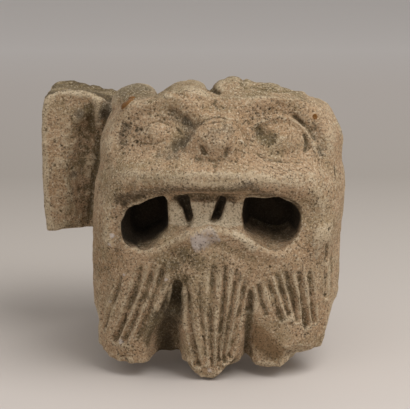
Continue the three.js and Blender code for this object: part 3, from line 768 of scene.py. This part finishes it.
def carveTail():
    points = skin["points"]
    count = np.arange(len(points))
    slope = patchMask((-111, 106, 76), (-99, 130, 172), 2.0)
    soften(slope, 40)
    toFront = smoothStep(-skin["normals"][:, 1], 0.0, 0.3)
    hollow = patchMask((-109.5, 112.6, 76), (-80, 132, 170), 1.0) * toFront
    rough = noiseAt(skin["points"], 9.0, 2) * 1.1 + noiseAt(skin["points"], 3.5) * 0.5
    skin["points"][:, 1] += hollow * rough
    lay("moss", count, hollow * (0.2 + 0.35 * noiseAt(skin["points"], 16.0)))
    stained = patchMask((-110, 111, 76), (-84, 116, 168), 2.5)
    stained *= points[:, 0] > 0.1 * points[:, 2] - 117.7
    lay("moss", count, stained * 0.5)
    lay("speckle", count, hollow * 0.4)
    for mark in tailMarks:
        cut(**mark)
    for place, reach in arrisChips:
        upward = 1.0 if place[1] > 175 else 0.0
        splitOff(place, (upward - 1.0, -1.0, upward), reach, ragged=0.6, pale=0.25)
    brokenTop = smoothStep(skin["normals"][:, 2], 0.35, 0.7) * smoothStep(skin["points"][:, 1], 110, 116)
    skin["points"][:, 2] -= brokenTop * np.abs(noiseAt(skin["points"], 11.0, 2)) * 1.6
    lay("moss", count, brokenTop)
    lay("grime", count, brokenTop * (0.5 + 0.4 * noiseAt(skin["points"], 20.0)))
    print("tail carved")


# Weathering: grain and pits over the whole stone

weather = {
    "lump": 13.0, "lumpRise": 0.4,
    "grain": 2.6, "grainRise": 0.2,
    "pits": 1150, "pitReach": (0.7, 1.4), "pitDepth": (0.4, 1.1), "strays": 0.12,
    "brokenEnd": 17.0, "brokenRise": 0.7,
    "seed": 41,
}


def roughen():
    points, normals = skin["points"], skin["normals"]
    lump = noiseAt(points, weather["lump"], 2) * weather["lumpRise"]
    grain = noiseAt(points, weather["grain"]) * weather["grainRise"]
    ends = smoothStep(-points[:, 2], -weather["brokenEnd"], 4 - weather["brokenEnd"]) * (points[:, 1] < 60)
    broken = noiseAt(points, 6.0, 2) * weather["brokenRise"] * ends
    bedded = np.maximum(smoothStep(points[:, 1], 178, 181),
                        smoothStep(-normals[:, 2], 0.5, 0.9) * smoothStep(points[:, 1], 112, 120))
    points += normals * ((lump + grain + broken) * (1 - 0.92 * bedded))[:, None]
    print("grain laid")


def pitSkin():
    rng = random.Random(weather["seed"])
    points, normals = skin["points"], skin["normals"]
    tree = KDTree(len(points))
    for index, point in enumerate(points):
        tree.insert(point, index)
    tree.balance()
    sunk = 0
    while sunk < weather["pits"]:
        chosen = rng.randrange(len(points))
        if rng.random() > weather["strays"] + paint["speckle"][chosen]:
            continue
        reach = rng.uniform(*weather["pitReach"])
        depth = rng.uniform(*weather["pitDepth"])
        for place, index, gap in tree.find_range(Vector(points[chosen]), reach):
            form = math.cos(gap / reach * math.pi / 2) ** 2
            points[index] -= normals[index] * depth * form
            paint["grime"][index] = max(paint["grime"][index], 0.6 * form)
        sunk += 1
    print("pits sunk")


def readHollows():
    # dirt and painted shade are laid where the skin lies below its surroundings; where it stands above
    # them, paint for rubbed edges and painted highlight
    sunk = np.zeros(len(skin["points"]))
    smoothed = skin["points"].copy()
    for rounds, full in ((3, 0.35), (26, 1.3)):
        for _ in range(rounds):
            smoothed += (neighbourMean(smoothed) - smoothed) * 0.6
        sunk += ((smoothed - skin["points"]) * skin["normals"]).sum(1) / full
    paint["sunk"] = np.clip(0.5 * sunk, 0, 1)
    paint["proud"] = np.clip(-0.5 * sunk, 0, 1)


def keepInBox():
    low = np.array(cadBox[0]) / millimetre - stoneZero
    high = np.array(cadBox[1]) / millimetre - stoneZero
    skin["points"] = np.clip(skin["points"], low, high)


def storePaint(stone):
    for name, values in paint.items():
        layer = stone.data.attributes.new(name, "FLOAT", "POINT")
        layer.data.foreach_set("value", values.astype(np.float32))


# Weathered limestone: warm beige, with grey-green dirt and painted shade in the hollows, pits, pale grains,
# and edges paler from rubbing and from painted highlight. The mouth's holes, the gaps between the teeth and
# the beard's deep recesses are darkened with painted shade. The layers lie one over another. Each keeps to
# its paint, where it has one, or to its own pattern; size is the pattern's in mm, ragged how far it breaks
# the paint's edge up.

limestone = {
    "stone": "b69878",
    "pit": "3b3022",
    "roughness": 0.94,
    "specular": 0.25,
    "amberRoughness": 0.35,
}
stoneLayers = [
    {"colour": "a38360", "size": 42.0, "detail": 2.0, "span": (0.45, 0.62), "share": 0.6},
    {"colour": "948765", "size": 24.0, "detail": 4.0, "span": (0.48, 0.68), "share": 0.55},
    {"colour": "bfa788", "size": 9.0, "detail": 6.0, "span": (0.45, 0.75), "share": 0.45},
    {"colour": "7d6b4f", "size": 2.8, "detail": 4.0, "span": (0.53, 0.68), "share": 0.6},
    {"colour": "a5805a", "paint": "warm", "size": 12.0, "detail": 3.0, "ragged": 0.8, "span": (0.2, 0.7),
     "share": 0.6},
    # paler where the skin stands out: rubbed edges, and painted highlight on crests
    {"colour": "c9b698", "paint": "proud", "size": 3.0, "detail": 3.0, "ragged": 0.5, "span": (0.12, 0.5),
     "share": 0.75},
    # darker where the skin lies low: dirt, and painted shade in hollows
    {"colour": "6b5d43", "paint": "sunk", "size": 3.0, "detail": 4.0, "ragged": 0.6, "span": (0.1, 0.5),
     "share": 0.75},
    # a grey-green film of moss; also painted shade in the beard's recesses, on the crown's top and on the
    # left of the face
    {"colour": "7c6c4d", "paint": "moss", "size": 7.0, "detail": 6.0, "ragged": 1.6, "span": (0.1, 0.9),
     "share": 0.85},
    # a grey film of ash; also painted shade beside the nose and the left eye and on the top at the left
    {"colour": "6f6657", "paint": "ash", "size": 5.0, "detail": 6.0, "ragged": 1.6, "span": (0.15, 0.95),
     "share": 0.8},
    # pale stone and chips; on the teeth and a ridge of the nose, painted light
    {"colour": "d6c5a8", "paint": "pale", "size": 3.0, "detail": 4.0, "ragged": 1.8, "span": (0.25, 0.95),
     "share": 0.8},
    {"colour": "decdb2", "size": 1.35, "detail": 4.0, "span": (0.52, 0.67), "share": 0.66},
    {"colour": "e0d2ba", "size": 2.0, "detail": 3.0, "span": (0.62, 0.72), "share": 0.4},
    {"colour": "8d7150", "paint": "fresh", "size": 5.0, "detail": 5.0, "ragged": 1.0, "span": (0.2, 0.7),
     "share": 0.72},
    {"colour": "54442f", "size": 1.2, "detail": 4.0, "span": (0.51, 0.66), "share": 0.8},
    {"colour": "46382a", "size": 2.1, "detail": 3.0, "span": (0.60, 0.70), "share": 0.55},
    # grime: dirt, and painted shade in creases, under the lip and between the teeth
    {"colour": "483b2a", "paint": "grime", "size": 1.7, "detail": 3.0, "ragged": 1.6, "span": (0.25, 0.95),
     "share": 0.85},
    {"colour": "c8bcb4", "paint": "crust", "size": 2.4, "detail": 4.0, "ragged": 1.4, "span": (0.2, 0.85),
     "share": 0.8},
    # painted shade in the mouth's holes, the gaps between the teeth and the beard's deep recesses
    {"colour": "1f1810", "paint": "soot", "size": 6.0, "detail": 3.0, "ragged": 0.3, "span": (0.1, 0.8),
     "share": 0.92},
    {"colour": "764b14", "paint": "amber", "size": 2.0, "detail": 2.0, "ragged": 0.3, "span": (0.2, 0.4),
     "share": 0.95},
]
# pits too fine for the skin: the size of the net they lie in, their largest reach as a share of it,
# and how many of them there are, anywhere and where pits crowd
pitLayers = [
    {"size": 1.05, "reach": 0.5, "anywhere": 0.1, "crowded": 0.65},
    {"size": 1.8, "reach": 0.38, "anywhere": 0.03, "crowded": 0.35},
]


def makeLimestone():
    finish = bpy.data.materials.new("weathered_limestone")
    finish.use_nodes = True
    shader = finish.node_tree.nodes["Principled BSDF"]
    shader.location = (4800, 0)
    coordinate = addNode(finish, "ShaderNodeTexCoord", (-1200, 0)).outputs["Object"]
    paints = {name: addNode(finish, "ShaderNodeAttribute", (-1200, -200 * (index + 1)),
                            {"attribute_name": name}).outputs["Fac"]
              for index, name in enumerate(paintNames)}

    colour = toLinear(limestone["stone"])
    for index, layer in enumerate(stoneLayers):
        across = 250 * index
        ragged = layer.get("ragged", 1.0)
        middle = 0.5 * ragged if "paint" in layer else 0.0
        pattern = addNode(finish, "ShaderNodeTexNoise", (across - 900, -300), inputs={
            "Vector": coordinate, "Scale": 1000.0 / layer["size"], "Detail": layer["detail"],
            "Roughness": 0.62})
        amount = addNode(finish, "ShaderNodeMath", (across - 700, -200), {"operation": "MULTIPLY_ADD"}, {
            0: pattern.outputs["Fac"], 1: ragged, 2: paints.get(layer.get("paint"), 0.0)})
        span = addNode(finish, "ShaderNodeMapRange", (across - 500, -100), inputs={
            "Value": amount.outputs["Value"], "From Min": layer["span"][0] + middle,
            "From Max": layer["span"][1] + middle, "To Max": layer["share"]})
        mix = addNode(finish, "ShaderNodeMix", (across - 300, 100), {"data_type": "RGBA"}, {
            0: span.outputs["Result"], 6: colour, 7: toLinear(layer["colour"])})
        colour = mix.outputs[2]

    bend = addNode(finish, "ShaderNodeTexNoise", (3400, -900), inputs={
        "Vector": coordinate, "Scale": 900.0})
    bent = addNode(finish, "ShaderNodeVectorMath", (3600, -900), {"operation": "MULTIPLY_ADD"}, {
        0: bend.outputs["Color"], 1: (0.0007, 0.0007, 0.0007), 2: coordinate})
    pits = 0.0
    for index, layer in enumerate(pitLayers):
        down = -600 - 500 * index
        net = addNode(finish, "ShaderNodeTexVoronoi", (3800, down), inputs={
            "Vector": bent.outputs["Vector"], "Scale": 1000.0 / layer["size"]})
        chance = addNode(finish, "ShaderNodeSeparateColor", (4000, down), inputs={
            "Color": net.outputs["Color"]})
        crowd = addNode(finish, "ShaderNodeMath", (3800, down - 300), {"operation": "MULTIPLY_ADD"}, {
            0: paints["speckle"], 1: layer["crowded"], 2: layer["anywhere"]})
        rarest = addNode(finish, "ShaderNodeMath", (4000, down - 300), {"operation": "SUBTRACT"}, {
            0: 1.0, 1: crowd.outputs["Value"]})
        reach = addNode(finish, "ShaderNodeMapRange", (4200, down), inputs={
            "Value": chance.outputs["Red"], "From Min": rarest.outputs["Value"], "From Max": 1.0,
            "To Max": layer["reach"]})
        inside = addNode(finish, "ShaderNodeMath", (4400, down), {"operation": "SUBTRACT"}, {
            0: reach.outputs["Result"], 1: net.outputs["Distance"]})
        form = addNode(finish, "ShaderNodeMapRange", (4600, down), inputs={
            "Value": inside.outputs["Value"], "From Min": 0.0, "From Max": 0.12})
        pits = addNode(finish, "ShaderNodeMath", (4700, down), {"operation": "MAXIMUM"}, {
            0: form.outputs["Result"], 1: pits}).outputs["Value"]
    dark = addNode(finish, "ShaderNodeMath", (4700, -200), {"operation": "MULTIPLY"}, {0: pits, 1: 0.65})
    colour = addNode(finish, "ShaderNodeMix", (4700, 100), {"data_type": "RGBA"}, {
        0: dark.outputs["Value"], 6: colour, 7: toLinear(limestone["pit"])}).outputs[2]

    grain = addNode(finish, "ShaderNodeTexNoise", (4000, -1700), inputs={
        "Vector": coordinate, "Scale": 620.0, "Detail": 4.0, "Roughness": 0.75})
    height = addNode(finish, "ShaderNodeMath", (4500, -1700), {"operation": "SUBTRACT"}, {
        0: grain.outputs["Fac"], 1: pits})
    bump = addNode(finish, "ShaderNodeBump", (4600, -1500), inputs={
        "Height": height.outputs["Value"], "Strength": 1.0, "Distance": 0.0013})
    gloss = addNode(finish, "ShaderNodeMapRange", (4600, -1300), inputs={
        "Value": paints["amber"], "From Min": 0.3, "From Max": 0.6, "To Min": limestone["roughness"],
        "To Max": limestone["amberRoughness"]})
    for name, value in {"Base Color": colour, "Normal": bump.outputs["Normal"],
                        "Roughness": gloss.outputs["Result"]}.items():
        finish.node_tree.links.new(value, shader.inputs[name])
    shader.inputs["Specular IOR Level"].default_value = limestone["specular"]
    return finish


addStudio()
stone = roughOut()
readSkin(stone)
openPaint(stone)
carveTail()
carveHair()
carveFace()
carveMouth()
carveBeard()
addCase()
writeSkin(stone)
readSkin(stone)
roughen()
pitSkin()
keepInBox()
writeSkin(stone)
readHollows()
storePaint(stone)
stone.data.materials.append(makeLimestone())

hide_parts("carved_corbel")
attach(stone, "root")
